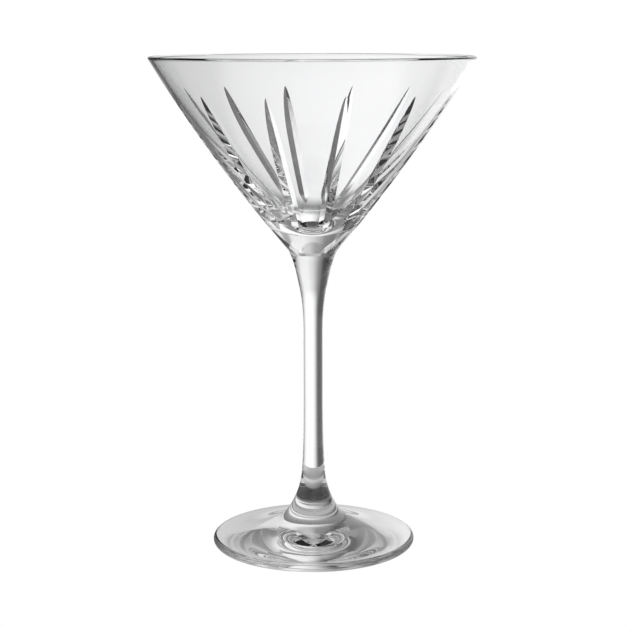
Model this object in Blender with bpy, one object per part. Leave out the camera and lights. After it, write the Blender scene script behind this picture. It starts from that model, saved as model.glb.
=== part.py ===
"""A cut-crystal martini glass: a conical bowl with twelve V-grooves, a drawn stem and a round foot.

The glass stands on the plane z = 0 with its axis on +Z. Its three pieces are hot-joined in the real
object, so here they meet face to face with a thin gap. Lengths are in metres and angles in degrees.
"""

import math

import bmesh
import bpy

# Driving dimensions of the whole glass.
HEIGHT = 0.175
RIM_RADIUS = 0.057
FOOT_RADIUS = 0.0365
WAIST_RADIUS = 0.00345

# Heights of the two joints, and the radius of the glass at each.
BOWL_JOINT_Z = 0.1070
BOWL_JOINT_RADIUS = 0.00864
BOWL_JOINT_SLOPE = 0.48
FOOT_JOINT_Z = 0.0165
FOOT_JOINT_RADIUS = 0.0068
FOOT_JOINT_SLOPE = -0.48
JOINT_GAP = 0.0003

# The bowl's walls. The wall sizes are measured level, not square to the cone. The cavity runs into
# its rounded floor at its foot, and a fuller floor is flatter in the middle.
BOWL_BASE_SLOPE = 0.84
CAVITY_FLOOR_Z = 0.1165
CAVITY_FOOT_Z = 0.1260
CAVITY_FULLNESS = 0.35
RIM_WALL = 0.0014
LOW_WALL = 0.0060
WALL_GROWTH = 2.8
RIM_BASE_Z = HEIGHT - RIM_WALL / 2.0

# The cut grooves. A groove's depth is measured square to the wall.
GROOVE_COUNT = 12
GROOVE_PHASE = 12.5
GROOVE_TOP_Z = 0.1625
GROOVE_END_Z = 0.115
GROOVE_DEPTH = 0.00115
GROOVE_HALF_ANGLE = 63.0
GROOVE_RUN_IN = 0.020
GROOVE_RUN_OUT = 0.005
GROOVE_BLUNTNESS = 0.6

# The stem between its flares, as (radius, z), with the slopes d(radius)/dz of its flares.
NECK = (0.0049, 0.094)
NECK_SLOPE = 0.22
UPPER_WAIST = (WAIST_RADIUS, 0.072)
LOWER_WAIST = (WAIST_RADIUS, 0.056)
SWELL = (0.00405, 0.028)
SWELL_SLOPE = -0.06

# The foot. It stands on a flat ring, and its underside is hollowed between the ring and the axis.
# The sweep from the stem passes the shoulder and then thins out to the round edge.
SHOULDER = (0.0125, 0.0088)
SHOULDER_SLOPE = -1.3
BRIM_THINNING = 1.75
FOOT_EDGE_THICKNESS = 0.0030
REST_RING_INNER_RADIUS = 0.0285
KICK_UP = 0.0020

CLEAR_GLASS = (0.97, 0.98, 0.98)
CUTTER_CLEARANCE = 0.0015
SLOPE_STEP = 0.00001
BOWL_SEGMENTS = 72
STEM_SEGMENTS = 36
FOOT_SEGMENTS = 72


def clear_scene():
    """Remove every object, so that the script gives the same result from any file."""
    for existing in list(bpy.data.objects):
        bpy.data.objects.remove(existing, do_unlink=True)


def crystal(name):
    """A clear polished glass material."""
    material = bpy.data.materials.new(name)
    material.use_nodes = True
    shader = material.node_tree.nodes["Principled BSDF"]
    shader.inputs["Base Color"].default_value = (*CLEAR_GLASS, 1.0)
    shader.inputs["Roughness"].default_value = 0.02
    shader.inputs["Metallic"].default_value = 0.0
    shader.inputs["IOR"].default_value = 1.54
    shader.inputs["Transmission Weight"].default_value = 1.0
    return material


def smooth_steps(start, end, count):
    """Values from start to end, closer together near both ends."""
    turns = [math.pi * step / (count - 1) for step in range(count)]
    return [start + (end - start) * (1.0 - math.cos(turn)) / 2.0 for turn in turns]


def hermite(start, end, start_slope, end_slope, count):
    """Points (radius, z) on a cubic between two points, with slopes given as d(radius)/dz."""
    (r0, z0), (r1, z1) = start, end
    span = z1 - z0
    points = []
    for step in range(count):
        t = step / (count - 1)
        radius = (
            (2 * t**3 - 3 * t**2 + 1) * r0
            + (t**3 - 2 * t**2 + t) * span * start_slope
            + (3 * t**2 - 2 * t**3) * r1
            + (t**3 - t**2) * span * end_slope
        )
        points.append((radius, z0 + t * span))
    return points


def turned(name, profile, segments, material):
    """A solid of revolution about Z. The profile runs from axis to axis, down its outer side."""
    mesh = bpy.data.meshes.new(name)
    points = [(radius, 0.0, z) for radius, z in profile]
    edges = [(index, index + 1) for index in range(len(points) - 1)]
    mesh.from_pydata(points, edges, [])
    piece = bpy.data.objects.new(name, mesh)
    bpy.context.collection.objects.link(piece)
    mesh.materials.append(material)

    lathe = piece.modifiers.new("turning", "SCREW")
    lathe.axis = "Z"
    lathe.angle = math.tau
    lathe.steps = segments
    lathe.render_steps = segments
    lathe.use_merge_vertices = True
    lathe.merge_threshold = 0.00001
    lathe.use_smooth_shade = True
    return piece


def bowl_outer_radius(z):
    """The bowl's outside: a cone whose wall steepens slightly towards the rim."""
    rise = RIM_BASE_Z - BOWL_JOINT_Z
    steepening = (BOWL_BASE_SLOPE * rise - (RIM_RADIUS - BOWL_JOINT_RADIUS)) / rise**2
    above = z - BOWL_JOINT_Z
    return BOWL_JOINT_RADIUS + BOWL_BASE_SLOPE * above - steepening * above**2


def bowl_inner_radius(z):
    """The cavity's wall: near parallel to the outside at the rim, and thicker towards its foot."""
    share = (RIM_BASE_Z - z) / (RIM_BASE_Z - CAVITY_FOOT_Z)
    return bowl_outer_radius(z) - RIM_WALL - (LOW_WALL - RIM_WALL) * share**WALL_GROWTH


def cavity_floor(count):
    """Points (radius, z) on a Bezier curve from the axis to the cavity's foot, level at the axis."""
    foot_radius = bowl_inner_radius(CAVITY_FOOT_Z)
    foot_slope = (bowl_inner_radius(CAVITY_FOOT_Z + SLOPE_STEP) - foot_radius) / SLOPE_STEP
    lift = (CAVITY_FOOT_Z - CAVITY_FLOOR_Z) * CAVITY_FULLNESS
    corners = (
        (0.0, CAVITY_FLOOR_Z),
        (foot_radius * CAVITY_FULLNESS, CAVITY_FLOOR_Z),
        (foot_radius - lift * foot_slope, CAVITY_FOOT_Z - lift),
        (foot_radius, CAVITY_FOOT_Z),
    )
    points = []
    for step in range(count):
        t = step / count
        weights = ((1 - t) ** 3, 3 * (1 - t) ** 2 * t, 3 * (1 - t) * t**2, t**3)
        radius = sum(weight * corner[0] for weight, corner in zip(weights, corners))
        z = sum(weight * corner[1] for weight, corner in zip(weights, corners))
        points.append((radius, z))
    return points


def bowl_profile():
    """The half section of the bowl, from the cavity's floor over the rim to the joint."""
    inside = [(bowl_inner_radius(z), z) for z in smooth_steps(CAVITY_FOOT_Z, RIM_BASE_Z, 10)]

    rim = []
    rim_round = RIM_WALL / 2.0
    for angle in (150.0, 120.0, 90.0, 60.0, 30.0):
        turn = math.radians(angle)
        radius = RIM_RADIUS - rim_round + rim_round * math.cos(turn)
        rim.append((radius, RIM_BASE_Z + rim_round * math.sin(turn)))

    joint_face_z = BOWL_JOINT_Z + JOINT_GAP / 2.0
    outside = [(bowl_outer_radius(z), z) for z in smooth_steps(RIM_BASE_Z, joint_face_z, 16)]
    return cavity_floor(7) + inside + rim + outside + [(0.0, joint_face_z)]


def groove_depth(z):
    """How deep the wheel cuts at a height: a long blunt tip at the top, and a short end below."""
    from_top = min(max((GROOVE_TOP_Z - z) / GROOVE_RUN_IN, 0.0), 1.0)
    from_end = min(max((z - GROOVE_END_Z) / GROOVE_RUN_OUT, 0.0), 1.0)
    run_in = math.sin(math.pi / 2.0 * from_top) ** GROOVE_BLUNTNESS
    run_out = 1.0 - (1.0 - from_end) ** 2
    return GROOVE_DEPTH * min(run_in, run_out)


def groove_cutter(name, azimuth):
    """A wedge that follows the wall from below the groove's end to above its tip.

    Each section is a triangle whose inner corner is the groove's floor. The outer corners stand
    clear of the wall on the groove's two flat faces.
    """
    spread = math.tan(math.radians(GROOVE_HALF_ANGLE))
    heights = smooth_steps(GROOVE_TOP_Z, GROOVE_END_Z, 16)
    shell = bmesh.new()
    sections = []
    for z in heights:
        slope = (bowl_outer_radius(z + SLOPE_STEP) - bowl_outer_radius(z)) / SLOPE_STEP
        lean = math.atan(slope)
        outward = math.cos(lean)
        downward = -math.sin(lean)
        radius = bowl_outer_radius(z)
        depth = groove_depth(z)
        half_width = (depth + CUTTER_CLEARANCE) * spread
        floor = shell.verts.new((radius - depth * outward, 0.0, z - depth * downward))
        clear_radius = radius + CUTTER_CLEARANCE * outward
        clear_z = z + CUTTER_CLEARANCE * downward
        left = shell.verts.new((clear_radius, half_width, clear_z))
        right = shell.verts.new((clear_radius, -half_width, clear_z))
        sections.append((floor, left, right))

    for above, below in zip(sections, sections[1:]):
        for corner in range(3):
            following = (corner + 1) % 3
            shell.faces.new((above[corner], above[following], below[following], below[corner]))
    shell.faces.new(sections[0])
    shell.faces.new(sections[-1][::-1])
    bmesh.ops.recalc_face_normals(shell, faces=shell.faces)

    mesh = bpy.data.meshes.new(name)
    shell.to_mesh(mesh)
    shell.free()
    cutter = bpy.data.objects.new(name, mesh)
    bpy.context.collection.objects.link(cutter)
    cutter.rotation_euler.z = math.radians(azimuth - 90.0)
    cutter.hide_render = True
    cutter.display_type = "WIRE"
    return cutter


def build_bowl():
    """The bowl, with its grooves spread evenly round it. Azimuth is counted from -Y towards +X."""
    bowl = turned("bowl", bowl_profile(), BOWL_SEGMENTS, crystal("bowl_crystal"))
    for index in range(GROOVE_COUNT):
        azimuth = GROOVE_PHASE + 360.0 / GROOVE_COUNT * index
        cut = bowl.modifiers.new(f"groove_{index + 1}", "BOOLEAN")
        cut.operation = "DIFFERENCE"
        cut.solver = "EXACT"
        cut.object = groove_cutter(f"groove_cutter_{index + 1}", azimuth)
    return bowl


def build_stem():
    """The stem: flared into the bowl, thin through its middle, and flared again into the foot."""
    top = (BOWL_JOINT_RADIUS, BOWL_JOINT_Z - JOINT_GAP / 2.0)
    bottom = (FOOT_JOINT_RADIUS, FOOT_JOINT_Z + JOINT_GAP / 2.0)
    upper_flare = hermite(top, NECK, BOWL_JOINT_SLOPE, NECK_SLOPE, 8)
    neck = hermite(NECK, UPPER_WAIST, NECK_SLOPE, 0.0, 6)
    taper = hermite(LOWER_WAIST, SWELL, 0.0, SWELL_SLOPE, 6)
    lower_flare = hermite(SWELL, bottom, SWELL_SLOPE, FOOT_JOINT_SLOPE, 7)
    profile = [(0.0, top[1])] + upper_flare + neck[1:] + taper + lower_flare[1:] + [(0.0, bottom[1])]
    return turned("stem", profile, STEM_SEGMENTS, crystal("stem_crystal"))


def build_foot():
    """The foot: a thin disc that sweeps up to the stem, on a flat ring with a hollow inside it."""
    face_z = FOOT_JOINT_Z - JOINT_GAP / 2.0
    sweep = hermite((FOOT_JOINT_RADIUS, face_z), SHOULDER, FOOT_JOINT_SLOPE, SHOULDER_SLOPE, 8)

    edge_round = FOOT_EDGE_THICKNESS / 2.0
    edge_radius = FOOT_RADIUS - edge_round
    brim = []
    for step in range(1, 9):
        share = step / 9
        radius = SHOULDER[0] + (edge_radius - SHOULDER[0]) * share
        rise = (SHOULDER[1] - FOOT_EDGE_THICKNESS) * (1.0 - share) ** BRIM_THINNING
        brim.append((radius, FOOT_EDGE_THICKNESS + rise))

    edge = []
    for angle in (90.0, 60.0, 30.0, 0.0, -30.0, -60.0, -90.0):
        turn = math.radians(angle)
        edge.append((edge_radius + edge_round * math.cos(turn), edge_round + edge_round * math.sin(turn)))

    hollow = [(REST_RING_INNER_RADIUS, 0.0)]
    for step in range(1, 8):
        turn = math.pi * step / 8
        hollow.append((REST_RING_INNER_RADIUS * (1.0 - step / 8), KICK_UP * (1.0 - math.cos(turn)) / 2.0))
    profile = [(0.0, face_z)] + sweep + brim + edge + hollow + [(0.0, KICK_UP)]
    return turned("foot", profile, FOOT_SEGMENTS, crystal("foot_crystal"))


def main():
    clear_scene()
    build_bowl()
    build_stem()
    build_foot()


main()
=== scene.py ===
import math

import bpy
import numpy as np
from mathutils import Matrix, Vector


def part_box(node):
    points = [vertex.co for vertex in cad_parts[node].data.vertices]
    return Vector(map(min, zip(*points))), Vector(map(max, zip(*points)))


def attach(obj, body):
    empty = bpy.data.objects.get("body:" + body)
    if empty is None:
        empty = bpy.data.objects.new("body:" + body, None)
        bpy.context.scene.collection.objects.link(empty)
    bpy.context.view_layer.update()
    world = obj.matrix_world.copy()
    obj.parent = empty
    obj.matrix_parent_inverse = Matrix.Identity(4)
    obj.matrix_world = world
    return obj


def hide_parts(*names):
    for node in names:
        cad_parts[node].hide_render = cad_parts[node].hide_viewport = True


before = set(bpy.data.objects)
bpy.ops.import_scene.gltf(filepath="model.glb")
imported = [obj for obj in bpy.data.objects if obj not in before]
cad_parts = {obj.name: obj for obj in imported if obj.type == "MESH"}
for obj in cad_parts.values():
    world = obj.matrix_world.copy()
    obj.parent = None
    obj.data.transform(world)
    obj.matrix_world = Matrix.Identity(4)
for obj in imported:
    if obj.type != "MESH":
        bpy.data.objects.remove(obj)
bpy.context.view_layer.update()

MM = 0.001

# ---------------------------------------------------------------- sizes from the frame
bowl_low, bowl_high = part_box("bowl")
stem_low, stem_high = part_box("stem")
foot_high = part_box("foot")[1]

HEIGHT = bowl_high.z
RIM_RADIUS = bowl_high.x
BOWL_JOINT_Z = (bowl_low.z + stem_high.z) / 2.0
BOWL_JOINT_RADIUS = stem_high.x
FOOT_JOINT_Z = (stem_low.z + foot_high.z) / 2.0
FOOT_RADIUS = foot_high.x

# ---------------------------------------------------------------- shape constants
# The bowl's walls, measured level. The cavity runs into its rounded floor at its foot.
BOWL_BASE_SLOPE = 0.84
CAVITY_FLOOR_Z = 116.5 * MM
CAVITY_FOOT_Z = 126.0 * MM
CAVITY_FULLNESS = 0.35
LOW_WALL = 6.0 * MM
WALL_GROWTH = 2.8
RIM_WALL = 1.4 * MM
RIM_BASE_Z = HEIGHT - RIM_WALL / 2.0

# The cut grooves. A groove's depth is measured square to the wall, and angles are in degrees.
GROOVE_COUNT = 12
GROOVE_PHASE = 12.5
GROOVE_TOP_Z = 162.5 * MM
GROOVE_END_Z = 115.0 * MM
GROOVE_DEPTH = 1.15 * MM
GROOVE_HALF_ANGLE = 63.0
GROOVE_RUN_IN = 20.0 * MM
GROOVE_RUN_OUT = 5.0 * MM
GROOVE_BLUNTNESS = 0.6

# The stem as (radius, z), with the slopes d(radius)/dz of its flares.
WAIST_RADIUS = 3.45 * MM
BOWL_JOINT_SLOPE = 0.48
NECK = (4.9 * MM, 94.0 * MM)
NECK_SLOPE = 0.22
UPPER_WAIST = (WAIST_RADIUS, 72.0 * MM)
LOWER_WAIST = (WAIST_RADIUS, 56.0 * MM)
SWELL = (4.05 * MM, 28.0 * MM)
SWELL_SLOPE = -0.06
FOOT_JOINT_RADIUS = 6.8 * MM
FOOT_JOINT_SLOPE = -0.48

# The foot: a shoulder that thins out to a round edge, a flat rest ring, and a hollow inside the ring.
SHOULDER = (12.5 * MM, 8.8 * MM)
SHOULDER_SLOPE = -1.3
BRIM_THINNING = 1.75
FOOT_EDGE_THICKNESS = 3.0 * MM
REST_RING_INNER_RADIUS = 28.5 * MM
KICK_UP = 2.0 * MM

# ---------------------------------------------------------------- mesh constants
GROOVE_COLUMNS = 5
LAND_COLUMNS = 8
HALF_SECTOR_COLUMNS = GROOVE_COLUMNS + LAND_COLUMNS
GROOVE_ROW_GATHERING = 1.3
LEAST_GROOVE_WIDTH = 0.02 * MM
SLOPE_STEP = 0.01 * MM
STEM_COLUMNS = 160
FOOT_COLUMNS = 256
SHARP_ANGLE = 13.0
PLAIN_SLOT, JOINT_SLOT, CUT_SLOT = 0, 1, 2

# ---------------------------------------------------------------- material constants
GLASS_IOR = 1.54
CLEAR_TINT = (0.995, 0.995, 0.997, 1.0)
PALE_TINT = (0.98, 0.983, 0.99, 1.0)
HAZE_START, HAZE_FULL = 0.5, 0.8
SCUFF_START, SCUFF_FULL = 0.55, 0.75
SCUFF_GRAIN = (1400.0, 1400.0, 1400.0)
REST_RING_WEAR = 0.15
REST_RING_WEAR_HEIGHT = 0.05 * MM

# ---------------------------------------------------------------- studio constants
# The greys that every ray but the camera's meets, as (azimuth, brightness): azimuth 0 is straight behind the
# glass, + is to the right. They are fitted to how one photograph of the glass looks, and are no real studio.
LOW_STUDIO = [
    (-180, 1.0), (-160, 0.8), (-84, 0.8), (-78, 0.4), (-60, 0.2), (-48, 0.06), (-24, 0.06), (-16, 0.2),
    (-10, 0.6), (-6, 0.8), (0, 1.0), (8, 1.15), (22, 1.2), (34, 1.0), (45, 0.9), (56, 0.6), (64, 0.4),
    (74, 0.8), (150, 0.8),
]
MID_STUDIO = [
    (-180, 0.3), (-150, 0.05), (-125, 0.2), (-95, 0.18), (-65, 0.18), (-40, 0.04), (-26, 0.05),
    (-12, 0.3), (0, 0.72), (12, 0.95), (30, 0.95), (48, 0.55), (65, 0.28), (100, 0.18), (130, 0.05),
    (155, 0.15),
]
HIGH_STUDIO = [
    (-180, 0.35), (-110, 0.35), (-75, 0.22), (-50, 0.09), (-30, 0.2), (-8, 0.27), (10, 0.55),
    (30, 0.55), (50, 0.35), (80, 0.2), (120, 0.45),
]
# The brightness straight down, below the low band, and above the high band.
DOWN_STUDIO = 0.85
UNDER_STUDIO = 0.25
TOP_STUDIO = 0.5
# The elevations between which one band gives way to the next: down, under, low, mid, high, top.
BAND_CHANGES = ((-52, -44), (-34, -26), (-3, 6), (34, 50), (60, 72))

FLOOR_RADIUS = 75.0 * MM
FLOOR_DROP = 0.2 * MM
# The table's painted shade as (distance from the axis in mm, brightness), behind or before the glass and to
# its sides: a painted shadow under the stem and just past the foot's edge, and a painted bright ring of light
# under the foot. These greys are fitted in the same way: painted shade and light, no real shade.
TABLE_PAINTED_SHADE_ALONG = [
    (0, 0.05), (12, 0.06), (18, 0.22), (26, 0.33), (34, 0.62), (40, 0.42), (48, 0.32), (75, 0.45),
]
TABLE_PAINTED_SHADE_ACROSS = [
    (0, 0.05), (12, 0.07), (17, 0.7), (36, 0.8), (41, 0.08), (52, 0.3), (60, 0.6), (75, 0.7),
]
# Painted light: the table brightens from its left to its right, between these two distances from the axis.
TABLE_PAINTED_LIGHT_SIDE = 35.0 * MM
TABLE_LEFT_PAINTED_LIGHT = 0.8
TABLE_RIGHT_PAINTED_LIGHT_GAIN = 0.35

# ---------------------------------------------------------------- camera constants
CAMERA_PLACE = (1.7 * MM, -559.3 * MM, 184.8 * MM)
CAMERA_DIP = 10.18
CAMERA_ROLL = -0.1
CAMERA_LENS = 91.5441
CAMERA_SHIFT = -0.0078275
LIGHT_BOUNCES = 24


# ---------------------------------------------------------------- profiles
def smooth(t):
    """A share from 0 to 1, eased at both ends."""
    t = np.clip(t, 0.0, 1.0)
    return t * t * (3.0 - 2.0 * t)


def hermite(start, end, start_slope, end_slope, count):
    """Points (radius, z) on a cubic between two points, with slopes given as d(radius)/dz."""
    (r0, z0), (r1, z1) = start, end
    span = z1 - z0
    t = np.linspace(0.0, 1.0, count)
    radius = (
        (2 * t**3 - 3 * t**2 + 1) * r0
        + (t**3 - 2 * t**2 + t) * span * start_slope
        + (3 * t**2 - 2 * t**3) * r1
        + (t**3 - t**2) * span * end_slope
    )
    return [(r, z) for r, z in zip(radius, z0 + t * span)]


def outer_radius(z):
    """The bowl's outside: a cone whose wall steepens slightly towards the rim."""
    rise = RIM_BASE_Z - BOWL_JOINT_Z
    steepening = (BOWL_BASE_SLOPE * rise - (RIM_RADIUS - BOWL_JOINT_RADIUS)) / rise**2
    above = z - BOWL_JOINT_Z
    return BOWL_JOINT_RADIUS + BOWL_BASE_SLOPE * above - steepening * above**2


def outer_slope(z):
    return (outer_radius(z + SLOPE_STEP) - outer_radius(z - SLOPE_STEP)) / (2.0 * SLOPE_STEP)


def inner_radius(z):
    """The cavity's wall: near parallel to the outside at the rim, and thicker towards its foot."""
    share = (RIM_BASE_Z - z) / (RIM_BASE_Z - CAVITY_FOOT_Z)
    return outer_radius(z) - RIM_WALL - (LOW_WALL - RIM_WALL) * share**WALL_GROWTH


def cavity_profile():
    """The cavity from its floor to the rim: a rounded bottom that runs smoothly into the wall."""
    foot_radius = inner_radius(CAVITY_FOOT_Z)
    foot_slope = (inner_radius(CAVITY_FOOT_Z + SLOPE_STEP) - foot_radius) / SLOPE_STEP
    lift = (CAVITY_FOOT_Z - CAVITY_FLOOR_Z) * CAVITY_FULLNESS
    corners = np.array([
        (0.0, CAVITY_FLOOR_Z),
        (foot_radius * CAVITY_FULLNESS, CAVITY_FLOOR_Z),
        (foot_radius - lift * foot_slope, CAVITY_FOOT_Z - lift),
        (foot_radius, CAVITY_FOOT_Z),
    ])
    points = []
    for t in np.linspace(0.0, 1.0, 30)[:-1]:
        weights = np.array([(1 - t)**3, 3 * (1 - t)**2 * t, 3 * (1 - t) * t * t, t**3])
        points.append(tuple(weights @ corners))
    for z in np.linspace(CAVITY_FOOT_Z, RIM_BASE_Z, 60):
        points.append((inner_radius(z), z))
    return points


def rim_profile():
    """The round lip, from the cavity's wall over to the outside."""
    half = RIM_WALL / 2.0
    points = []
    for turn in np.linspace(math.pi, 0.0, 19)[1:-1]:
        points.append((RIM_RADIUS - half + half * math.cos(turn), RIM_BASE_Z + half * math.sin(turn)))
    return points


def groove_depth(z):
    """How deep a groove is at a height: a long blunt tip at the top, and a short end below."""
    from_top = np.clip((GROOVE_TOP_Z - z) / GROOVE_RUN_IN, 0.0, 1.0)
    from_end = np.clip((z - GROOVE_END_Z) / GROOVE_RUN_OUT, 0.0, 1.0)
    run_in = math.sin(math.pi / 2.0 * from_top) ** GROOVE_BLUNTNESS
    run_out = 1.0 - (1.0 - from_end) ** 2
    return GROOVE_DEPTH * min(run_in, run_out)


# ---------------------------------------------------------------- meshes
def lathe_mesh(name, verts, ring_count, columns, cap_start=False, cap_end=False):
    """Skins rings of vertices between two end points. A capped end gets the joint's material."""
    faces = []
    materials = []
    for c in range(columns):
        faces.append((0, 1 + c, 1 + (c + 1) % columns))
        materials.append(JOINT_SLOT if cap_start else PLAIN_SLOT)
    for ring in range(ring_count - 1):
        a = 1 + ring * columns
        b = a + columns
        for c in range(columns):
            d = (c + 1) % columns
            faces.append((a + c, b + c, b + d, a + d))
            materials.append(PLAIN_SLOT)
    last = len(verts) - 1
    a = 1 + (ring_count - 1) * columns
    for c in range(columns):
        faces.append((last, a + (c + 1) % columns, a + c))
        materials.append(JOINT_SLOT if cap_end else PLAIN_SLOT)
    mesh = bpy.data.meshes.new(name)
    mesh.from_pydata([tuple(map(float, v)) for v in verts], [], faces)
    mesh.polygons.foreach_set("material_index", materials)
    mesh.polygons.foreach_set("use_smooth", [True] * len(faces))
    mesh.update()
    piece = bpy.data.objects.new(name, mesh)
    bpy.context.scene.collection.objects.link(piece)
    mesh.set_sharp_from_angle(angle=math.radians(SHARP_ANGLE))
    return piece


def turned(name, profile, columns, start_z, end_z, cap_start, cap_end):
    """A solid of revolution whose profile runs between two points on the axis."""
    verts = [(0.0, 0.0, start_z)]
    turn = np.arange(columns) * (math.tau / columns)
    for r, z in profile:
        verts += list(zip(r * np.cos(turn), r * np.sin(turn), np.full(columns, z)))
    verts.append((0.0, 0.0, end_z))
    return lathe_mesh(name, verts, len(profile), columns, cap_start, cap_end)


def even_angles():
    """The columns of one sector, evenly spread."""
    columns = np.arange(-HALF_SECTOR_COLUMNS, HALF_SECTOR_COLUMNS)
    return columns * (math.pi / GROOVE_COUNT / HALF_SECTOR_COLUMNS)


def groove_angles(edge):
    """The columns of one sector, gathered inside a groove that reaches to the angle edge on each side."""
    half_sector = math.pi / GROOVE_COUNT
    inside = np.linspace(0.0, edge, GROOVE_COLUMNS + 1)
    outside = np.linspace(edge, half_sector, LAND_COLUMNS + 1)[1:]
    side = np.concatenate([inside, outside])
    return np.concatenate([-side[:0:-1], side[:-1]])


def outer_wall_ring(z):
    """One ring of the outside, with its columns gathered to the edges and floors of the grooves."""
    radius = outer_radius(z)
    depth = groove_depth(z)
    spread = math.tan(math.radians(GROOVE_HALF_ANGLE))
    lean = math.atan(outer_slope(z))
    even_edge = math.pi / GROOVE_COUNT * GROOVE_COLUMNS / HALF_SECTOR_COLUMNS
    # where the tilted face of the groove meets the round wall
    edge = max(depth * spread, LEAST_GROOVE_WIDTH) / radius
    for _ in range(4):
        sagitta = radius * (1.0 - math.cos(edge)) * math.cos(lean)
        edge = max((depth - sagitta) * spread, LEAST_GROOVE_WIDTH) / radius
    if z > GROOVE_TOP_Z:
        edge += (even_edge - edge) * smooth((z - GROOVE_TOP_Z) / (RIM_BASE_Z - GROOVE_TOP_Z))
        depth = 0.0
    elif z < GROOVE_END_Z:
        edge += (even_edge - edge) * smooth((GROOVE_END_Z - z) / (GROOVE_END_Z - BOWL_JOINT_Z))
        depth = 0.0
    angles = groove_angles(edge)
    across = radius * np.sin(angles)
    inward = np.maximum(depth - np.abs(across) / spread, 0.0) if depth > 0.0 else np.zeros_like(angles)
    sagitta = radius * (1.0 - np.cos(angles))
    in_groove = np.abs(angles) <= edge + 1e-9
    inward = np.where(in_groove, np.maximum(inward - sagitta * math.cos(lean), 0.0), 0.0)
    radii = radius - inward * math.cos(lean)
    heights = z + inward * math.sin(lean)
    return angles, radii, heights


def bowl_rings():
    """Every ring of the bowl: (angles, radii, heights) for one sector."""
    angles = even_angles()
    rings = []
    for r, z in cavity_profile()[1:] + rim_profile():
        rings.append((angles, np.full_like(angles, r), np.full_like(angles, z)))
    down_groove = np.linspace(0, 1, 110) ** GROOVE_ROW_GATHERING
    rows = list(np.linspace(RIM_BASE_Z, GROOVE_TOP_Z, 24)[:-1])
    rows += list(GROOVE_TOP_Z + (GROOVE_END_Z - GROOVE_TOP_Z) * down_groove)[:-1]
    rows += list(np.linspace(GROOVE_END_Z, BOWL_JOINT_Z, 20))
    for z in rows:
        rings.append(outer_wall_ring(z))
    return rings


def build_bowl():
    """The bowl, with its joint face capped and the two flat faces of every groove in their own material."""
    rings = bowl_rings()
    columns = 2 * HALF_SECTOR_COLUMNS * GROOVE_COUNT
    phase = math.radians(GROOVE_PHASE - 90.0)
    verts = [(0.0, 0.0, CAVITY_FLOOR_Z)]
    for angles, radii, heights in rings:
        for sector in range(GROOVE_COUNT):
            turn = angles + phase + math.tau / GROOVE_COUNT * sector
            verts += list(zip(radii * np.cos(turn), radii * np.sin(turn), heights))
    verts.append((0.0, 0.0, BOWL_JOINT_Z))
    bowl = lathe_mesh("bowl_glass", verts, len(rings), columns, cap_end=True)

    materials = np.zeros(len(bowl.data.polygons), dtype=np.int32)
    bowl.data.polygons.foreach_get("material_index", materials)
    for ring, (angles, radii, heights) in enumerate(rings[:-1]):
        hollowed = (radii < radii[0] - 0.01 * MM).any()
        if not (hollowed and GROOVE_END_Z < heights[0] <= GROOVE_TOP_Z):
            continue
        for column in range(columns):
            from_floor = abs(column % (2 * HALF_SECTOR_COLUMNS) - HALF_SECTOR_COLUMNS + 0.5)
            if from_floor < GROOVE_COLUMNS:
                materials[columns + ring * columns + column] = CUT_SLOT
    bowl.data.polygons.foreach_set("material_index", materials)
    return bowl


def build_stem():
    """The stem: flared into the bowl, thin through its middle, and flared again into the foot."""
    top = (BOWL_JOINT_RADIUS, BOWL_JOINT_Z)
    bottom = (FOOT_JOINT_RADIUS, FOOT_JOINT_Z)
    profile = hermite(top, NECK, BOWL_JOINT_SLOPE, NECK_SLOPE, 30)
    profile += hermite(NECK, UPPER_WAIST, NECK_SLOPE, 0.0, 30)[1:]
    profile += hermite(LOWER_WAIST, SWELL, 0.0, SWELL_SLOPE, 40)
    profile += hermite(SWELL, bottom, SWELL_SLOPE, FOOT_JOINT_SLOPE, 40)[1:]
    return turned("stem_glass", profile, STEM_COLUMNS, BOWL_JOINT_Z, FOOT_JOINT_Z, True, True)


def build_foot():
    """The foot: a thin disc that sweeps up to the stem, on a flat ring with a hollow inside it."""
    joint = (FOOT_JOINT_RADIUS, FOOT_JOINT_Z)
    profile = hermite(joint, SHOULDER, FOOT_JOINT_SLOPE, SHOULDER_SLOPE, 40)
    edge_round = FOOT_EDGE_THICKNESS / 2.0
    edge_radius = FOOT_RADIUS - edge_round
    for share in np.linspace(0.0, 1.0, 60)[1:-1]:
        radius = SHOULDER[0] + (edge_radius - SHOULDER[0]) * share
        rise = (SHOULDER[1] - FOOT_EDGE_THICKNESS) * (1.0 - share) ** BRIM_THINNING
        profile.append((radius, FOOT_EDGE_THICKNESS + rise))
    for turn in np.linspace(math.pi / 2, -math.pi / 2, 25):
        radius = edge_radius + edge_round * math.cos(turn)
        profile.append((radius, edge_round + edge_round * math.sin(turn)))
    for radius in np.linspace(edge_radius, REST_RING_INNER_RADIUS, 6)[1:]:
        profile.append((radius, 0.0))
    for share in np.linspace(0.0, 1.0, 40)[1:-1]:
        rise = KICK_UP * (1.0 - math.cos(math.pi * share)) / 2.0
        profile.append((REST_RING_INNER_RADIUS * (1.0 - share), rise))
    return turned("foot_glass", profile, FOOT_COLUMNS, FOOT_JOINT_Z, KICK_UP, True, False)


# ---------------------------------------------------------------- nodes
def grey(value):
    return (value, value, value, 1.0)


def math_node(nodes, links, operation, *inputs):
    node = nodes.new("ShaderNodeMath")
    node.operation = operation
    for index, value in enumerate(inputs):
        if isinstance(value, (int, float)):
            node.inputs[index].default_value = value
        else:
            links.new(value, node.inputs[index])
    return node.outputs[0]


def map_range(nodes, links, value, low, high, kind="SMOOTHSTEP", to_high=1.0):
    node = nodes.new("ShaderNodeMapRange")
    node.interpolation_type = kind
    node.inputs["From Min"].default_value = low
    node.inputs["From Max"].default_value = high
    node.inputs["To Max"].default_value = to_high
    links.new(value, node.inputs["Value"])
    return node.outputs[0]


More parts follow.
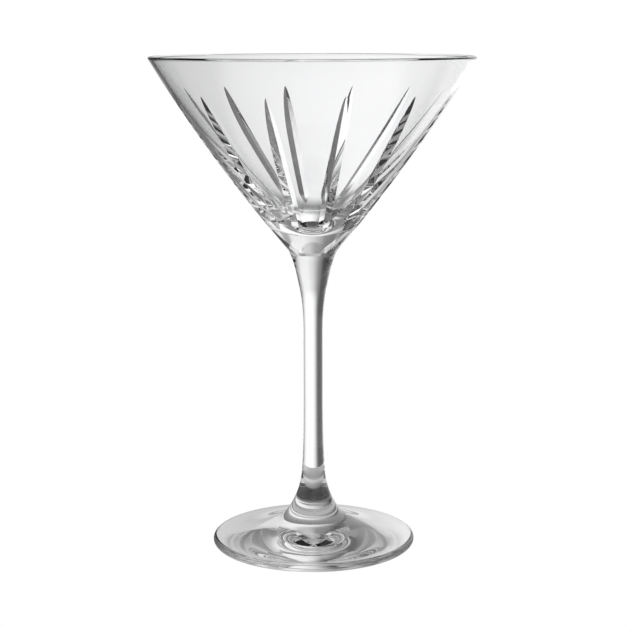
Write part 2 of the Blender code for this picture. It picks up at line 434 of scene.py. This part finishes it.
def mix_colour(nodes, links, share, first, second):
    node = nodes.new("ShaderNodeMix")
    node.data_type = "RGBA"
    links.new(share, node.inputs[0])
    for socket, value in ((node.inputs[6], first), (node.inputs[7], second)):
        if isinstance(value, tuple):
            socket.default_value = value
        else:
            links.new(value, socket)
    return node.outputs[2]


def noise(nodes, links, place, stretch, detail):
    """Noise whose grain is given in cycles per metre along each axis."""
    scaled = nodes.new("ShaderNodeMapping")
    scaled.inputs["Scale"].default_value = stretch
    links.new(place, scaled.inputs["Vector"])
    grain = nodes.new("ShaderNodeTexNoise")
    grain.inputs["Scale"].default_value = 1.0
    grain.inputs["Detail"].default_value = detail
    links.new(scaled.outputs[0], grain.inputs["Vector"])
    return grain.outputs[0]


def ramp_through(nodes, links, place, stops, low, high):
    """A ramp through (position, brightness) stops, whose positions run from low to high."""
    ramp = nodes.new("ShaderNodeValToRGB")
    links.new(place, ramp.inputs[0])
    elements = ramp.color_ramp.elements
    while len(elements) < len(stops):
        elements.new(0.5)
    for element, (position, value) in zip(elements, stops):
        element.position = (position - low) / (high - low)
        element.color = grey(value)
    return ramp.outputs[0]


# ---------------------------------------------------------------- materials
def crystal(name, haze_grain, haze, wave_grain, wave_height, worn_below=None):
    """Clear crystal: faint haze and colour in patches, and a polished surface that isn't quite true."""
    material = bpy.data.materials.new(name)
    material.use_nodes = True
    tree = material.node_tree
    nodes, links = tree.nodes, tree.links
    shader = nodes["Principled BSDF"]
    place = nodes.new("ShaderNodeTexCoord").outputs["Object"]
    patches = noise(nodes, links, place, haze_grain, 3.0)
    colour = mix_colour(nodes, links, patches, CLEAR_TINT, PALE_TINT)
    links.new(colour, shader.inputs["Base Color"])

    roughness = map_range(nodes, links, patches, HAZE_START, HAZE_FULL, to_high=haze)
    if worn_below is not None:
        split = nodes.new("ShaderNodeSeparateXYZ")
        links.new(place, split.inputs[0])
        scuffs = noise(nodes, links, place, SCUFF_GRAIN, 4.0)
        scuffed = map_range(nodes, links, scuffs, SCUFF_START, SCUFF_FULL, to_high=REST_RING_WEAR)
        low = map_range(nodes, links, split.outputs["Z"], worn_below, 0.0)
        roughness = math_node(nodes, links, "MULTIPLY_ADD", scuffed, low, roughness)
    links.new(roughness, shader.inputs["Roughness"])

    waves = noise(nodes, links, place, wave_grain, 1.0)
    bump = nodes.new("ShaderNodeBump")
    bump.inputs["Strength"].default_value = 1.0
    bump.inputs["Distance"].default_value = wave_height
    links.new(waves, bump.inputs["Height"])
    links.new(bump.outputs[0], shader.inputs["Normal"])

    shader.inputs["IOR"].default_value = GLASS_IOR
    shader.inputs["Transmission Weight"].default_value = 1.0
    return material


def fused(name):
    """The faces where two pieces are melted together: light passes straight on."""
    material = bpy.data.materials.new(name)
    material.use_nodes = True
    tree = material.node_tree
    tree.nodes.clear()
    clear = tree.nodes.new("ShaderNodeBsdfTransparent")
    out = tree.nodes.new("ShaderNodeOutputMaterial")
    tree.links.new(clear.outputs[0], out.inputs["Surface"])
    return material


def build_glass():
    """The three pieces in their crystal: blown, cut, drawn and pressed surfaces each have their own grain."""
    joint = fused("fused_joint")
    blown = crystal("bowl_crystal_look", (45.0, 45.0, 45.0), 0.01, (30.0, 30.0, 45.0), 0.02 * MM)
    cut = crystal("bowl_cut_look", (160.0, 160.0, 60.0), 0.02, (300.0, 300.0, 110.0), 0.012 * MM)
    drawn = crystal("stem_crystal_look", (300.0, 300.0, 40.0), 0.01, (160.0, 160.0, 25.0), 0.012 * MM)
    pressed = crystal(
        "foot_crystal_look", (60.0, 60.0, 60.0), 0.012, (90.0, 90.0, 90.0), 0.02 * MM, REST_RING_WEAR_HEIGHT
    )
    for node, build, looks in (
        ("bowl", build_bowl, (blown, joint, cut)),
        ("stem", build_stem, (drawn, joint)),
        ("foot", build_foot, (pressed, joint)),
    ):
        piece = build()
        for look in looks:
            piece.data.materials.append(look)
        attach(piece, "root")
        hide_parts(node)


# ---------------------------------------------------------------- studio
def build_world():
    """Plain white to the camera. Every other ray meets the fitted greys, in bands of elevation."""
    world = bpy.data.worlds.new("studio")
    bpy.context.scene.world = world
    world.use_nodes = True
    tree = world.node_tree
    nodes, links = tree.nodes, tree.links
    nodes.clear()
    out = nodes.new("ShaderNodeOutputWorld")
    coord = nodes.new("ShaderNodeTexCoord")
    split = nodes.new("ShaderNodeSeparateXYZ")
    links.new(coord.outputs["Generated"], split.inputs[0])
    azimuth = math_node(nodes, links, "ARCTAN2", split.outputs["X"], split.outputs["Y"])
    turn = map_range(nodes, links, azimuth, -math.pi, math.pi, "LINEAR")
    bands = [grey(UNDER_STUDIO)]
    for studio in (LOW_STUDIO, MID_STUDIO, HIGH_STUDIO):
        full_turn = studio + [(180, studio[0][1])]
        bands.append(ramp_through(nodes, links, turn, full_turn, -180.0, 180.0))
    bands.append(grey(TOP_STUDIO))
    around = grey(DOWN_STUDIO)
    for band, (start, end) in zip(bands, BAND_CHANGES):
        low, high = math.sin(math.radians(start)), math.sin(math.radians(end))
        share = map_range(nodes, links, split.outputs["Z"], low, high)
        around = mix_colour(nodes, links, share, around, band)
    lit = nodes.new("ShaderNodeBackground")
    links.new(around, lit.inputs["Color"])
    white = nodes.new("ShaderNodeBackground")
    white.inputs["Color"].default_value = grey(1.0)
    path = nodes.new("ShaderNodeLightPath")
    mix = nodes.new("ShaderNodeMixShader")
    links.new(path.outputs["Is Camera Ray"], mix.inputs[0])
    links.new(lit.outputs[0], mix.inputs[1])
    links.new(white.outputs[0], mix.inputs[2])
    links.new(mix.outputs[0], out.inputs["Surface"])


def build_floor():
    """A small table that glows in place of being lit, plain white to the camera. Every other ray meets fitted
    greys of painted shade and light: a painted shadow under the stem, a painted bright ring under the foot,
    and painted light brighter to the right.
    """
    bpy.ops.mesh.primitive_circle_add(
        vertices=96, radius=FLOOR_RADIUS, fill_type="NGON", location=(0, 0, -FLOOR_DROP)
    )
    floor = bpy.context.object
    floor.name = "floor"
    material = bpy.data.materials.new("table_painted_shade_and_light")
    material.use_nodes = True
    tree = material.node_tree
    nodes, links = tree.nodes, tree.links
    nodes.clear()
    place = nodes.new("ShaderNodeTexCoord")
    split = nodes.new("ShaderNodeSeparateXYZ")
    links.new(place.outputs["Object"], split.inputs[0])
    x, y = split.outputs["X"], split.outputs["Y"]
    across = math_node(nodes, links, "MULTIPLY", x, x)
    along = math_node(nodes, links, "MULTIPLY", y, y)
    square = math_node(nodes, links, "ADD", across, along)
    radius = math_node(nodes, links, "SQRT", square)
    not_zero = math_node(nodes, links, "MAXIMUM", square, 1e-8)
    sideways = math_node(nodes, links, "DIVIDE", across, not_zero)
    outwards = math_node(nodes, links, "DIVIDE", radius, FLOOR_RADIUS)
    furthest = FLOOR_RADIUS / MM
    # painted shade: a painted shadow under the stem and a painted bright ring of light under the foot
    behind = ramp_through(nodes, links, outwards, TABLE_PAINTED_SHADE_ALONG, 0.0, furthest)
    beside = ramp_through(nodes, links, outwards, TABLE_PAINTED_SHADE_ACROSS, 0.0, furthest)
    shade = mix_colour(nodes, links, sideways, behind, beside)
    # painted light: the table is brighter to its right
    side = map_range(nodes, links, x, -TABLE_PAINTED_LIGHT_SIDE, TABLE_PAINTED_LIGHT_SIDE, "LINEAR")
    lit = math_node(nodes, links, "MULTIPLY_ADD", side, TABLE_RIGHT_PAINTED_LIGHT_GAIN, TABLE_LEFT_PAINTED_LIGHT)
    seen_in_glass = math_node(nodes, links, "MULTIPLY", lit, shade)
    path = nodes.new("ShaderNodeLightPath")
    strength = nodes.new("ShaderNodeMix")
    links.new(path.outputs["Is Camera Ray"], strength.inputs[0])
    links.new(seen_in_glass, strength.inputs[2])
    strength.inputs[3].default_value = 1.0
    # the table glows in place of being lit: painted light and shade, plain white to the camera
    glow = nodes.new("ShaderNodeEmission")
    links.new(strength.outputs[0], glow.inputs["Strength"])
    out = nodes.new("ShaderNodeOutputMaterial")
    links.new(glow.outputs[0], out.inputs["Surface"])
    floor.data.materials.append(material)


def build_camera():
    """A long lens a little above the rim, looking slightly down."""
    scene = bpy.context.scene
    data = bpy.data.cameras.new("camera")
    camera = bpy.data.objects.new("camera", data)
    scene.collection.objects.link(camera)
    data.sensor_fit = "HORIZONTAL"
    data.sensor_width = 36.0
    data.lens = CAMERA_LENS
    data.shift_x = CAMERA_SHIFT
    data.clip_start = 0.01
    camera.matrix_world = (
        Matrix.Translation(CAMERA_PLACE)
        @ Matrix.Rotation(math.radians(90.0 - CAMERA_DIP), 4, "X")
        @ Matrix.Rotation(math.radians(CAMERA_ROLL), 4, "Z")
    )
    scene.camera = camera


def set_light_paths():
    """Clear glass needs many bounces, and plain white has to stay plain white."""
    scene = bpy.context.scene
    scene.view_settings.view_transform = "Standard"
    scene.cycles.max_bounces = LIGHT_BOUNCES
    scene.cycles.transmission_bounces = LIGHT_BOUNCES
    scene.cycles.transparent_max_bounces = 16
    scene.cycles.glossy_bounces = 12


build_glass()
build_world()
build_floor()
build_camera()
set_light_paths()
